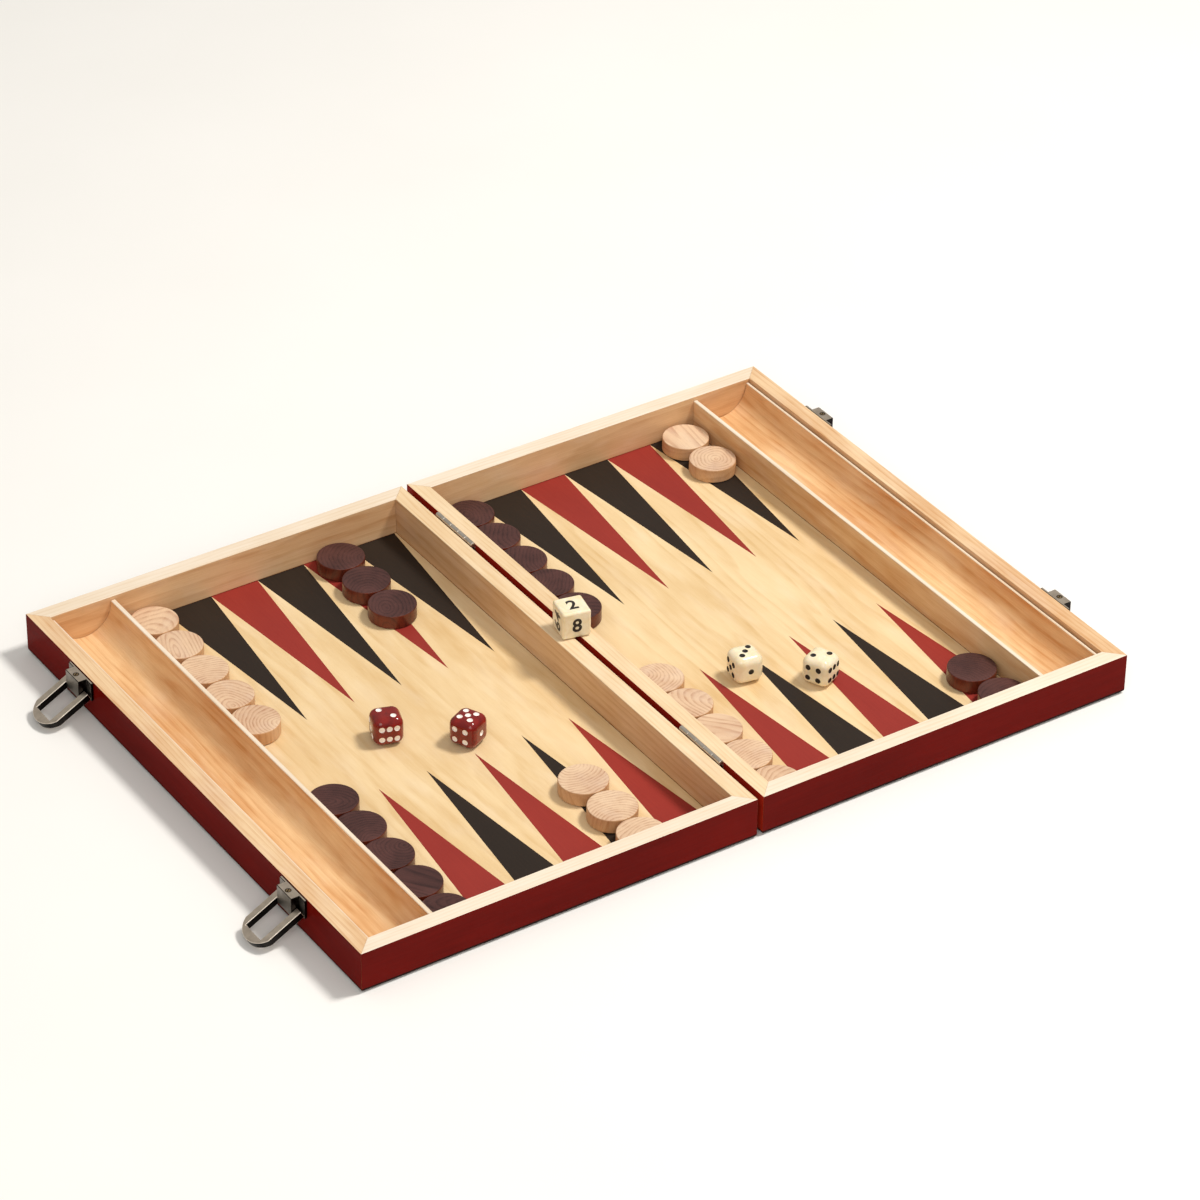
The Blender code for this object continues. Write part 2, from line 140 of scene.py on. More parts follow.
# Loose pieces
CHECKER_RADIUS = 13.75
CHECKER_HEIGHT = 8.5
CHECKER_ROUND = 0.7
CHECKER_EASE = 1.15       # from the rim to where the face is flat
CHECKER_DISH = 0.03
CHECKER_WAIST = 0.02
CHECKER_UPPER_END = 62.0  # degrees; where the rounding meets the upper face
CHECKER_LOWER_STEPS = 4
CHECKER_UPPER_STEPS = 3
CHECKER_SEGMENTS = 72
DIE_ROUND = 4.7
DIE_ROUND_STEPS = 9
PIP_RADIUS = 1.65
PIP_SEGMENTS = 36
PIP_WALL = 0.42           # depth of a pip at its wall
PIP_DEPTH = 0.7           # depth of a pip in its middle
PIP_SPREAD = 3.25
SIX_STRETCH = 1.28        # the rows of a six are longer than they are far apart
CUBE_ROUND = 1.5
CUBE_ROUND_STEPS = 6
RESIN_SHARP = 28.0        # degrees; the shading breaks at sharper edges
NUMERAL_HEIGHT = 8.6
NUMERAL_DEPTH = 0.3
NUMERAL_BOLD = 0.025      # thickening of the strokes, in em
NUMERAL_EXTRUDE = 0.5     # half of the thickness the strokes are made with
NUMERAL_STEPS = 8
NUMERAL_SPACING = 1.05
PAINT_FILM = 0.03         # how far the numerals stand proud
PIP_PROFILE = [
    # (radius, height): a shallow dish, then a straight wall that leaves the face
    (0.02, -PIP_DEPTH), (0.5 * PIP_RADIUS, -PIP_DEPTH + 0.25 * (PIP_DEPTH - PIP_WALL)),
    (PIP_RADIUS, -PIP_WALL), (PIP_RADIUS, 1.0),
]

# Turn of each die about Z, and the values on its faces. A falling diagonal runs from the upper
# left to the lower right of its face, seen from outside.
DICE = {
    "die_red_a": (-18.3, {"front": 6, "back": 1, "left": 3, "right": 4, "top": 2, "bottom": 5}),
    "die_red_b": (26.0, {"front": 1, "back": 6, "left": 4, "right": 3, "top": 5, "bottom": 2}),
    "die_ivory_a": (-9.4, {"front": 1, "back": 6, "left": 5, "right": 2, "top": -3, "bottom": 4}),
    "die_ivory_b": (23.8, {"front": 6, "back": 1, "left": 4, "right": 3, "top": 2, "bottom": 5}),
}
CUBE_TURN = -12.0
CUBE_FACES = {
    # face: (numeral, quarter turns anticlockwise)
    "top": ("2", 0), "front": ("8", 0), "left": ("64", 1),
    "right": ("4", 0), "back": ("16", 0), "bottom": ("32", 0),
}
FACE_FRAMES = {
    # face: (outward normal, direction to the right seen from outside)
    "front": ((0, -1, 0), (1, 0, 0)), "back": ((0, 1, 0), (-1, 0, 0)),
    "left": ((-1, 0, 0), (0, -1, 0)), "right": ((1, 0, 0), (0, 1, 0)),
    "top": ((0, 0, 1), (1, 0, 0)), "bottom": ((0, 0, -1), (-1, 0, 0)),
}

# Studio, in metres: direction, distance, size, watts and colour of each softbox
KEY_LIGHT = ((0.44, -0.18, 0.88), 2.4, 0.5, 43.0, (1.0, 0.965, 0.91))
FILL_LIGHT = ((-0.55, -0.75, 0.75), 3.0, 1.8, 23.0, (1.0, 0.97, 0.93))
WORLD_STRENGTH = 0.455
HORIZON = (0.65, 0.62, 0.58, 1.0)
ZENITH = (1.17, 1.14, 1.08, 1.0)
FLOOR_REACH = 6.0
FLOOR_DROP = 0.0002

# Camera, in metres and degrees
CAMERA_PLACE = (-1.2029, -1.8363, 1.5464)
CAMERA_TURN = (55.756, -0.660, -33.385)
CAMERA_LENS = 146.9
SENSOR_WIDTH = 36.0


def box_mm(node):
    """Lowest and highest corner of a CAD node, in millimetres."""
    low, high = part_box(node)
    return low / MM, high / MM


# Places taken from the frame, in millimetres
HINGE = Vector(next(j["pos_m"] for j in frame["joints"] if j["name"] == "case_fold")) / MM
INNER = box_mm("right_hinge_rail")[0].x - HINGE.x
FIELD_BASE = INNER + RAIL + FIELD_MARGIN


# ---- colour and node helpers

def tone(code):
    """Linear RGBA of a #rrggbb colour."""
    channels = [int(code[i:i + 2], 16) / 255 for i in (1, 3, 5)]
    linear = [c / 12.92 if c <= 0.04045 else ((c + 0.055) / 1.055) ** 2.4 for c in channels]
    return (*linear, 1.0)


def lighter(code):
    """Halfway from a colour to white."""
    return tuple((1 + channel) / 2 for channel in tone(code))


def darker(code):
    """A colour at less than half its strength."""
    return (*(0.45 * channel for channel in tone(code)[:3]), 1.0)


class Graph:
    """One material and the nodes that feed its Principled shader."""

    def __init__(self, name, **settings):
        self.material = bpy.data.materials.new(name)
        self.material.use_nodes = True
        self.tree = self.material.node_tree
        self.shader = self.tree.nodes["Principled BSDF"]
        for socket, value in settings.items():
            self.shader.inputs[socket.replace("_", " ")].default_value = value

    def feed(self, socket, value):
        """Link a socket, or set it to a value or a #rrggbb colour."""
        if isinstance(value, bpy.types.NodeSocket):
            self.tree.links.new(value, socket)
        else:
            socket.default_value = tone(value) if isinstance(value, str) else value

    def node(self, kind, inputs, **settings):
        made = self.tree.nodes.new(f"ShaderNode{kind}")
        for name, value in settings.items():
            setattr(made, name, value)
        for name, value in inputs.items():
            self.feed(made.inputs[name], value)
        return made

    def grain(self):
        """Place in the plank, in millimetres."""
        return self.node("Attribute", {}, attribute_name="grain").outputs["Vector"]

    def maths(self, operation, *values, clamp=False):
        made = self.tree.nodes.new("ShaderNodeMath")
        made.operation = operation
        made.use_clamp = clamp
        for socket, value in zip(made.inputs, values):
            self.feed(socket, value)
        return made.outputs[0]

    def vector(self, operation, *values):
        made = self.tree.nodes.new("ShaderNodeVectorMath")
        made.operation = operation
        for socket, value in zip(made.inputs, values):
            self.feed(socket, value)
        return made.outputs["Value" if operation == "LENGTH" else "Vector"]

    def noise(self, vector, scale=1.0, detail=2.0, roughness=0.5, distortion=0.0):
        values = {"Vector": vector, "Scale": scale, "Detail": detail}
        values.update({"Roughness": roughness, "Distortion": distortion})
        return self.node("TexNoise", values).outputs[0]

    def drawn(self, vector, stretch, *settings):
        """Noise drawn out along the axes that are stretched least."""
        return self.noise(self.vector("MULTIPLY", vector, stretch), *settings)

    def ramp(self, factor, *stops):
        """Map a factor through (position, grey) stops."""
        made = self.node("ValToRGB", {"Fac": factor})
        elements = made.color_ramp.elements
        while len(elements) < len(stops):
            elements.new(0.5)
        for element, (position, value) in zip(elements, stops):
            element.position = position
            element.color = (value, value, value, 1.0)
        return made.outputs["Color"]

    def mix(self, factor, first, second, blend="MIX"):
        made = self.tree.nodes.new("ShaderNodeMix")
        made.data_type = "RGBA"
        made.blend_type = blend
        self.feed(made.inputs[0], factor)
        self.feed(made.inputs[6], first)
        self.feed(made.inputs[7], second)
        return made.outputs[2]

    def bump(self, height, distance, strength=1.0):
        inputs = {"Height": height, "Distance": distance * MM, "Strength": strength}
        self.feed(self.shader.inputs["Normal"], self.node("Bump", inputs).outputs["Normal"])

    def colour(self, value):
        self.feed(self.shader.inputs["Base Color"], value)

    def roughness(self, factor, low, high):
        """Spread the roughness between two values by a factor."""
        spread = self.maths("MULTIPLY_ADD", factor, high - low, low)
        self.feed(self.shader.inputs["Roughness"], spread)


# ---- materials

def wood(
    name, pale, deep, ring, ring_depth=0.4, streak=0.5, patch=0.35, pores=0.0, bloom=0.15, **settings
):
    """Solid wood: growth rings round the fibre axis, fibre streaks, slow patches and pores."""
    values = {"Roughness": 0.48, "Specular_IOR_Level": 0.3}
    values.update(settings)
    g = Graph(name, **values)
    place = g.grain()
    sway = g.drawn(place, (0.12, 1.0, 1.0), 0.035, 2.0, 0.55)
    around = g.vector("LENGTH", g.vector("MULTIPLY", place, (0.0, 1.0, 1.0)))
    radius = g.maths("MULTIPLY_ADD", sway, 5.0 * ring, around)
    phase = g.maths("FRACT", g.maths("DIVIDE", radius, ring))
    late = g.ramp(phase, (0.0, 0.05), (0.45, 0.12), (0.82, 1.0), (0.93, 0.85), (1.0, 0.05))
    uneven = g.drawn(place, (0.05, 0.3, 0.3), 1.0, 2.0)
    late = g.maths("MULTIPLY", late, g.ramp(uneven, (0.3, 0.25), (0.7, 1.0)))
    fibres = g.drawn(place, (0.045, 1.9, 1.9), 1.0, 5.0, 0.62)
    streaks = g.ramp(fibres, (0.32, 0.0), (0.72, 1.0))
    slow = g.drawn(place, (0.25, 1.0, 1.0), 0.045, 3.0, 0.6)
    patches = g.ramp(slow, (0.38, 0.0), (0.62, 1.0))
    depth = g.maths("MULTIPLY", late, ring_depth)
    depth = g.maths("MULTIPLY_ADD", streaks, streak * 0.5, depth)
    depth = g.maths("MULTIPLY_ADD", patches, patch, depth, clamp=True)
    shade = g.mix(depth, pale, deep)
    cloud = g.drawn(place, (0.3, 1.0, 1.0), 0.08, 3.0, 0.55)
    shade = g.mix(g.ramp(cloud, (0.5, 0.0), (0.72, bloom)), shade, lighter(pale))
    vessels = g.drawn(place, (0.25, 7.0, 7.0), 1.0, 1.0)
    vessels = g.ramp(vessels, (0.66, 0.0), (0.74, 1.0))
    g.colour(g.mix(g.maths("MULTIPLY", vessels, pores), shade, darker(deep)))
    g.roughness(streaks, values["Roughness"] - 0.05, values["Roughness"] + 0.08)
    height = g.maths("MULTIPLY_ADD", streaks, 0.5, g.maths("MULTIPLY", vessels, -pores))
    g.bump(height, 0.04)
    return g.material


def dyed_veneer(name, light, dark):
    """Dyed inlay: nearly even colour with fine fibres and a soft bloom."""
    g = Graph(name, Specular_IOR_Level=0.18)
    place = g.grain()
    fibres = g.drawn(place, (0.06, 2.6, 2.6), 1.0, 4.0, 0.6)
    slow = g.drawn(place, (0.3, 1.0, 1.0), 0.05, 2.0)
    depth = g.maths("MULTIPLY_ADD", slow, 0.6, g.maths("MULTIPLY", fibres, 0.6), clamp=True)
    g.colour(g.mix(depth, light, dark))
    g.roughness(fibres, 0.42, 0.58)
    g.bump(fibres, 0.03)
    return g.material


def lacquer(name, light, dark, roughness=0.4):
    """Stained side wood under satin lacquer: the grain only just shows."""
    g = Graph(name, Specular_IOR_Level=0.0, Coat_Weight=0.12, Coat_Roughness=0.2)
    place = g.grain()
    fibres = g.drawn(place, (0.03, 1.2, 1.2), 1.0, 5.0, 0.6)
    slow = g.drawn(place, (0.35, 1.0, 1.0), 0.035, 3.0, 0.6)
    depth = g.maths("MULTIPLY", fibres, 0.75)
    depth = g.maths("MULTIPLY_ADD", g.ramp(slow, (0.3, 0.0), (0.7, 1.0)), 0.45, depth, clamp=True)
    g.colour(g.mix(depth, light, dark))
    g.roughness(slow, roughness - 0.06, roughness + 0.08)
    ripple = g.drawn(place, (0.2, 1.0, 1.0), 0.25, 2.0)
    g.bump(g.maths("MULTIPLY_ADD", fibres, 0.25, ripple), 0.05, 0.6)
    return g.material


def burl_eyes(g, place, drift):
    """Eyes of two sizes: their cores, the smoky halos round them and their pull on the figure."""
    bent = g.vector("MULTIPLY", place, (0.6, 0.7, 0.0))
    bent = g.vector("MULTIPLY_ADD", drift, (0.3, 0.3, 0.0), bent)
    ragged = g.noise(place, 0.8, 3.0, 0.7)
    parts = []
    for scale, size in ((0.048, 2.0), (0.085, 1.15)):
        cells = {"Vector": bent, "Scale": scale}
        gap = g.node("TexVoronoi", cells, voronoi_dimensions="2D").outputs["Distance"]
        gap = g.maths("MULTIPLY_ADD", ragged, size, g.maths("DIVIDE", gap, scale))
        gap = g.maths("DIVIDE", gap, 12.0 * size)
        core = g.ramp(gap, (0.055, 1.0), (0.15, 0.0))
        halo = g.ramp(gap, (0.10, 1.0), (0.34, 0.0))
        pull = g.ramp(gap, (0.05, 1.0), (0.30, 0.45), (0.8, 0.0))
        parts.append((core, halo, pull))
    return zip(*parts)


def burl_ribbons(g, place, drift, pulls):
    """Wide and thin dark ribbons that run along the sheet and bend round the eyes."""
    across = g.node("SeparateXYZ", {"Vector": drift}).outputs["Y"]
    sway = g.drawn(place, (0.45, 1.0, 1.0), 0.034, 3.0, 0.55)
    field = g.maths("MULTIPLY_ADD", across, 0.026, g.maths("MULTIPLY", sway, 2.2))
    for pull, strength in zip(pulls, (0.75, 0.25)):
        field = g.maths("MULTIPLY_ADD", pull, strength, field)
    wide = g.maths("FRACT", g.maths("MULTIPLY", field, 2.0))
    wide = g.ramp(wide, (0.0, 0.9), (0.12, 0.3), (0.4, 0.0), (0.75, 0.25), (1.0, 0.9))
    thin = g.maths("FRACT", g.maths("MULTIPLY", field, 7.0))
    thin = g.ramp(thin, (0.0, 1.0), (0.10, 0.35), (0.3, 0.0), (0.88, 0.0), (1.0, 1.0))
    fading = g.ramp(g.noise(drift, 0.05, 2.0), (0.36, 0.15), (0.58, 1.0))
    return wide, g.maths("MULTIPLY", thin, fading)


def burl():
    """Burl veneer: a flowing orange figure with clusters of small dark eyes."""
    g = Graph("burl_veneer", Specular_IOR_Level=0.15, Coat_Weight=0.1, Coat_Roughness=0.15)
    place = g.grain()
    drift = g.node("TexNoise", {"Vector": place, "Scale": 0.03, "Detail": 3.0}).outputs["Color"]
    drift = g.vector("MULTIPLY_ADD", drift, (30.0, 30.0, 0.0), place)
    clusters = g.ramp(g.noise(place, 0.02, 1.0), (0.40, 0.0), (0.52, 1.0))
    cores, halos, pulls = burl_eyes(g, place, drift)
    core = g.maths("MULTIPLY", g.maths("MAXIMUM", *cores), clusters)
    halo = g.maths("MULTIPLY", g.maths("MAXIMUM", *halos), clusters)
    wide, thin = burl_ribbons(g, place, drift, pulls)
    fibres = g.drawn(drift, (0.35, 1.3, 1.0), 0.55, 5.0, 0.75)
    fibres = g.ramp(fibres, (0.34, 0.0), (0.68, 1.0))
    smoke = g.ramp(g.noise(drift, 0.038, 4.0, 0.65), (0.46, 0.0), (0.7, 1.0))
    shade = g.mix(fibres, "#D05A1C", "#A83C10")
    shade = g.mix(g.maths("MULTIPLY", wide, 0.7), shade, "#8C2E0A")
    shade = g.mix(g.maths("MULTIPLY", smoke, 0.75), shade, "#84340A")
    shade = g.mix(g.maths("MULTIPLY", thin, 0.8), shade, "#5A1C06")
    shade = g.mix(g.maths("MULTIPLY", halo, 0.7), shade, "#742408")
    shade = g.mix(g.maths("MULTIPLY", core, 0.92), shade, "#280A04")
    g.colour(shade)
    g.roughness(fibres, 0.3, 0.42)
    g.bump(g.maths("MULTIPLY_ADD", core, -0.6, fibres), 0.04, 0.5)
    return g.material


def metal(name, light, dark, roughness):
    """Plated metal: brushed lines, dulled patches and fine scratches."""
    g = Graph(name, Metallic=1.0)
    place = g.grain()
    lines = g.drawn(place, (0.05, 6.0, 6.0), 1.0, 4.0, 0.6)
    dull = g.noise(place, 0.18, 4.0, 0.65)
    g.colour(g.mix(g.ramp(dull, (0.3, 0.0), (0.75, 1.0)), light, dark))
    blur = g.maths("MULTIPLY_ADD", dull, 0.5, g.maths("MULTIPLY", lines, 0.5))
    g.roughness(blur, roughness - 0.08, roughness + 0.16)
    scratch = g.drawn(place, (0.4, 9.0, 2.0), 1.0, 1.0)
    g.bump(g.maths("MULTIPLY_ADD", g.ramp(scratch, (0.7, 0.0), (0.78, 1.0)), -0.6, lines), 0.02)
    return g.material


def resin(name, light, dark, glow=0.0, roughness=0.12):
    """Cast resin or acrylic: cloudy depth under a polished skin with faint rub marks."""
    g = Graph(name, Specular_IOR_Level=0.3, Coat_Weight=0.4, Coat_Roughness=0.06)
    g.shader.inputs["Subsurface Weight"].default_value = glow
    g.shader.inputs["Subsurface Radius"].default_value = (1.0, 0.7, 0.35)
    g.shader.inputs["Subsurface Scale"].default_value = 1.6 * MM
    place = g.grain()
    cloud = g.noise(place, 0.16, 4.0, 0.6, 0.8)
    g.colour(g.mix(g.ramp(cloud, (0.3, 0.0), (0.72, 1.0)), light, dark))
    rub = g.noise(place, 1.1, 4.0, 0.7)
    g.roughness(rub, roughness - 0.04, roughness + 0.16)
    g.bump(g.noise(place, 0.5, 2.0), 0.05, 0.3)
    return g.material


def paint(name, colour, worn):
    """Filled-in paint of pips and numerals, thinner here and there."""
    g = Graph(name)
    place = g.grain()
    wear = g.noise(place, 0.9, 4.0, 0.7)
    g.colour(g.mix(g.ramp(wear, (0.45, 0.0), (0.8, 1.0)), colour, worn))
    g.roughness(wear, 0.3, 0.55)
    g.bump(wear, 0.04)
    return g.material


def paper_floor():
    """Pale studio paper."""
    g = Graph("studio_paper", Roughness=0.85)
    place = g.node("TexCoord", {}).outputs["Object"]
    g.colour(g.mix(g.noise(place, 6.0, 3.0), "#F6F5F3", "#F0EFEC"))
    return g.material


def maple(name, pale, deep, ring, **figure):
    """One of the pale case woods, by the width of its growth rings."""
    return wood(f"maple_{name}", pale, deep, ring, **figure)


def case_materials():
    return {
        "end_rim": maple("rim_ends", "#F2E4D2", "#DCC3A2", 2.3, streak=0.6, patch=0.3),
        "hinge_rim": maple("rim_bar", "#F0D9B5", "#D6B080", 2.4, streak=0.6),
        "side_rim": maple("rim_sides", "#EDD0A8", "#C8925F", 2.6, streak=0.6, patch=0.45, pores=0.15),
        "wall": maple("walls", "#E7C296", "#C08C5C", 3.4, streak=0.6, pores=0.2),
        "field": maple("field", "#EED4A8", "#D3AE77", 6.5, streak=0.4, patch=0.4, pores=0.12),
        "trough": maple("trough", "#F1CD9C", "#C98D54", 4.2, streak=0.6, patch=0.5, pores=0.2),
        "core": wood("plywood_core", "#E0B480", "#A87748", 1.4, ring_depth=0.5),
        "black": dyed_veneer("dyed_black_veneer", "#352A22", "#221B16"),
        "red": dyed_veneer("dyed_red_veneer", "#A3392F", "#872A25"),
        "side": lacquer("red_lacquered_side", "#7C140D", "#560B07"),
        # painted light: a lighter copy of the side lacquer for the hinge rails' outer faces, seen in
        # the gap between the trays
        "bar_side": lacquer("red_lacquered_bar_side", "#B8331E", "#8C2012"),
        "edge": lacquer("dark_edge", "#3A1410", "#1A0806", 0.3),
        "burl": burl(),
    }


def metal_materials():
    return {
        "nickel": metal("satin_nickel", "#DED0BF", "#B7AA9A", 0.34),
        # painted shade: a darker copy of the satin nickel for the latch blocks' outer faces
        "nickel_shade": metal("nickel_painted_shade", "#938D84", "#736D66", 0.36),
        # painted dark reflection: near-black nickel for the latch and bail sides, pegs, rivets and
        # block bevels; also painted shade in screw rings and slots
        "nickel_edge": metal("nickel_painted_dark_reflection", "#2A2624", "#151211", 0.2),
        # painted highlight: a bright copy of the nickel for the bails' rounded edges
        "nickel_arris": metal("bright_nickel_arris", "#FBF0E2", "#D8CBBB", 0.25),
        "hinge": metal("brushed_nickel_hinge", "#DED5C8", "#BFB5A8", 0.34),
        "steel": metal("screw_steel", "#B49A70", "#6A5640", 0.3),
    }


def loose_materials():
    return {
        "red_resin": resin("burgundy_resin", "#8E1A12", "#640F0C", 0.04, 0.12),
        "ivory_resin": resin("ivory_resin", "#F7ECD2", "#EBD9B0", 0.2, 0.18),
        "white_paint": paint("white_paint", "#FBF6F0", "#E6CFC6"),
        "black_paint": paint("black_paint", "#17110F", "#3A2E28"),
        "light_top": wood(
            "light_checker_face", "#E8CBAA", "#B07F62", 2.1,
            ring_depth=0.6, streak=0.35, patch=0.3, pores=0.3,
        ),
        "light_side": wood(
            "light_checker_side", "#DDB386", "#B07A4C", 3.1,
            streak=0.6, patch=0.3, pores=0.2,
        ),
        "dark_top": wood(
            "dark_checker_face", "#5E3A36", "#331C1B", 2.0,
            ring_depth=0.5, streak=0.6, patch=0.45, pores=0.6, bloom=0.0, Roughness=0.4,
        ),
        "dark_side": wood(
            "dark_checker_side", "#7A3420", "#3A140D", 2.8,
            streak=0.6, patch=0.4, pores=0.3, bloom=0.0, Roughness=0.3, Coat_Weight=0.1,
        ),
    }


# ---- shapes

class Shape:
    """Points and painted faces of one mesh, in millimetres."""

    def __init__(self):
        self.points = []
        self.faces = []
        self.paints = []

    def add(self, points, faces, paints):
        first = len(self.points)
        self.points += [Vector(point) for point in points]
        self.faces += [[first + index for index in face] for face in faces]
        self.paints += list(paints)

    def sweep(self, outline, ends, place, paints=0, cap=0):
        """Carry a closed outline of (a, b) from one end to the other; place makes the points."""
        count = len(outline)
        points = [place(a, b, end) for end in ends for a, b in outline]
        faces = [[i, (i + 1) % count, count + (i + 1) % count, count + i] for i in range(count)]
        sides = paints if isinstance(paints, (list, tuple)) else [paints] * count
        faces += [list(range(count)), list(range(count, 2 * count))]
        self.add(points, faces, [*sides, cap, cap])

    def turn(self, profile, segments, place, paints=0, closed=False):
        """Turn a (radius, height) profile; an open one gets a cap at each end."""
        angles = [2 * math.pi * i / segments for i in range(segments)]
        points = [
            place(radius * math.cos(angle), radius * math.sin(angle), height)
            for radius, height in profile for angle in angles
        ]
        bands = len(profile) if closed else len(profile) - 1
        sides = paints if isinstance(paints, (list, tuple)) else [paints] * bands
        pairs = [(i, (i + 1) % segments) for i in range(segments)]
        faces, colours = [], []
        for ring, colour in enumerate(sides):
            low, high = ring * segments, (ring + 1) % len(profile) * segments
            faces += [[low + i, low + j, high + j, high + i] for i, j in pairs]
            colours += [colour] * segments
        if not closed:
            faces += [list(range(segments)), list(range(bands * segments, len(points)))]
            colours += [sides[0], sides[-1]]
        self.add(points, faces, colours)

    def mesh(self, name, materials, scale=MM):
        bm = bmesh.new()
        points = [bm.verts.new(point * scale) for point in self.points]
        for face, colour in zip(self.faces, self.paints):
            made = bm.faces.new([points[index] for index in face])
            made.material_index = colour
        bmesh.ops.recalc_face_normals(bm, faces=bm.faces)
        mesh = to_mesh(bm, name)
        for material in materials:
            mesh.materials.append(material)
        return mesh


def arc(centre, radius, start, end, steps):
    """Points on an arc, angles in degrees."""
    angles = [math.radians(start + (end - start) * i / steps) for i in range(steps + 1)]
    return [(centre[0] + radius * math.cos(a), centre[1] + radius * math.sin(a)) for a in angles]


def upright(x, y, z):
    """Place a point of an outline in X and Y at a height."""
    return x, y, z


def along_y(x, z, y):
    """Place a point of an outline in X and Z at a place along Y."""
    return x, y, z


def lay_grain(mesh, turn, shift=(0, 0, 0)):
    """Write each vertex's place in its plank, fibres along X, in millimetres."""
    plank = Matrix.Translation(shift) @ Euler([math.radians(a) for a in turn]).to_matrix().to_4x4()
    layer = mesh.attributes.new("grain", "FLOAT_VECTOR", "POINT")
    for vertex, item in zip(mesh.vertices, layer.data):
        item.vector = plank @ (vertex.co / MM)


def to_mesh(bm, name):
    """Turn a bmesh into a mesh and free it."""
    mesh = bpy.data.meshes.new(name)
    bm.to_mesh(mesh)
    bm.free()
    return mesh


def new_object(name, data):
    """Put a mesh, text, light or camera in the scene."""
    made = bpy.data.objects.new(name, data)
    bpy.context.collection.objects.link(made)
    return made


def add_piece(name, mesh, body, nodes, place, sharp=32.0, weighted=False):
    """Put a mesh in the scene as one piece that rides on a body and stands for CAD nodes."""
    piece = new_object(name, mesh)
    piece.matrix_world = place
    mesh.shade_smooth()
    mesh.set_sharp_from_angle(angle=math.radians(sharp))
    if weighted:
        modifier = piece.modifiers.new("even_shading", "WEIGHTED_NORMAL")
        modifier.keep_sharp = True
    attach(piece, body)
    if nodes:
        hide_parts(*nodes)
    return piece


def soften(piece, material):
    """Round every edge of a piece a little, in one of its materials."""
    modifier = piece.modifiers.new("soft_edges", "BEVEL")
    modifier.width = METAL_BEVEL * MM
    modifier.segments = BEVEL_STEPS
    modifier.limit_method = "ANGLE"
    modifier.angle_limit = math.radians(BEVEL_FROM)
    modifier.harden_normals = True
    modifier.material = material
    modifier.use_clamp_overlap = True


def spot(x, y, z, turn=0.0):
    """Place in the row frame, in millimetres, turned about Z by degrees."""
    return Matrix.Translation(Vector((x, y, z)) * MM) @ Matrix.Rotation(math.radians(turn), 4, "Z")


# ---- trays

def build_rail(name, body, looks, rim, turn):
    """Mitred rail: pale rim, tan inner wall, lacquered outer side and rounded dark edge. On the hinge
    rails the outer side is a lighter red: painted light in the gap between the trays.

    The mesh lies along X with its outer face towards -Y.
    """
    low, high = box_mm(name)
    length = max(high.x - low.x, high.y - low.y) + RAIL_OVERLAP
    top = RAIL_HEIGHT
    profile = [
        (RABBET, 0.0),
        *arc((EDGE_ROUND, EDGE_ROUND), EDGE_ROUND, 270, 180, EDGE_STEPS),
        *arc((ARRIS, top - ARRIS), ARRIS, 180, 90, ARRIS_STEPS),
        *arc((RAIL - ARRIS, top - ARRIS), ARRIS, 90, 0, ARRIS_STEPS),
        (RAIL, PANEL + CLEAR),
        (RABBET, PANEL + CLEAR),
    ]
    edge, side, pale, wall, core = range(5)
    stained = ARRIS_STEPS // 2
    paints = [edge] * (EDGE_STEPS + 1) + [side] * (1 + stained)
    paints += [pale] * (2 * ARRIS_STEPS + 1 - stained) + [wall, core, core]
    half = length / 2
    # hinge rails take the lighter red, painted light for the gap between the trays
    outside = "bar_side" if rim == "hinge" else "side"
    shape = Shape()
    shape.sweep(
        profile, (-1, 1),
        lambda inset, z, end: (end * (half - MITRE_LINE - inset), inset, z),
        paints, core,
    )
    mesh = shape.mesh(name, [looks[k] for k in ("edge", outside, f"{rim}_rim", "wall", "core")])
    dice = random.Random(name)
    log = (dice.uniform(0, 900), dice.uniform(70, 110), 30)
    lay_grain(mesh, (dice.uniform(-14, 14), 0, 0), log)
    centre = (low + high) / 2
    outer = {
        0: (centre.x, low.y), 180: (centre.x, high.y),
        90: (high.x, centre.y), -90: (low.x, centre.y),
    }
    x, y = outer[turn]
    add_piece(f"{name}_wood", mesh, body, [name], spot(x, y, 0, turn), weighted=True)


def field_outline(side, start, end, half):
    """Field veneer with the points cut out of both long edges."""
    tips = half - POINT_LENGTH
    teeth = []
    for i in range(POINTS_PER_SIDE):
        base = FIELD_BASE + i * POINT_PITCH
        teeth += [(base, -half), (base + POINT_PITCH / 2, -tips)]
    teeth.append((FIELD_BASE + POINTS_PER_SIDE * POINT_PITCH, -half))
    near = [(start, -half), *teeth, (end, -half)]
    far = [(u, -v) for u, v in reversed(near)]
    return [(side * u, v) for u, v in near + far]


def point_outline(index, half):
    """Corners of one inlaid point, a hairline inside the hole that the field leaves for it."""
    base = FIELD_BASE + index * POINT_PITCH
    return [
        (base + INLAY_LINE, half),
        (base + POINT_PITCH - INLAY_LINE, half),
        (base + POINT_PITCH / 2, half - POINT_LENGTH + INLAY_TIP),
    ]


def add_veneer(name, outline, look, body, turn, shift):
    """A sheet let into the top of a bottom panel, its outline measured from the hinge line."""
    shape = Shape()
    shape.sweep(outline, (PANEL - VENEER, PANEL), upright, 0)
    mesh = shape.mesh(name, [look])
    lay_grain(mesh, turn, shift)
    add_piece(name, mesh, body, (), spot(HINGE.x, 0, 0))


def build_panel(word, side, body, looks):
    """Bottom panel with burl outside."""
    node = f"{word}_base_panel"
    low, high = box_mm(node)
    centre = (low + high) / 2
    half_x, half_y = (high.x - low.x) / 2, (high.y - low.y) / 2
    corners = [(-half_x, -half_y), (half_x, -half_y), (half_x, half_y), (-half_x, half_y)]
    shape = Shape()
    shape.sweep(corners, (0.0, PANEL - VENEER), upright, 1, 0)
    mesh = shape.mesh(node, [looks["burl"], looks["core"]])
    lay_grain(mesh, (0, 0, 8), (400 if side > 0 else 0, 130, 50))
    add_piece(f"{word}_burl_panel", mesh, body, [node], spot(centre.x, centre.y, 0))


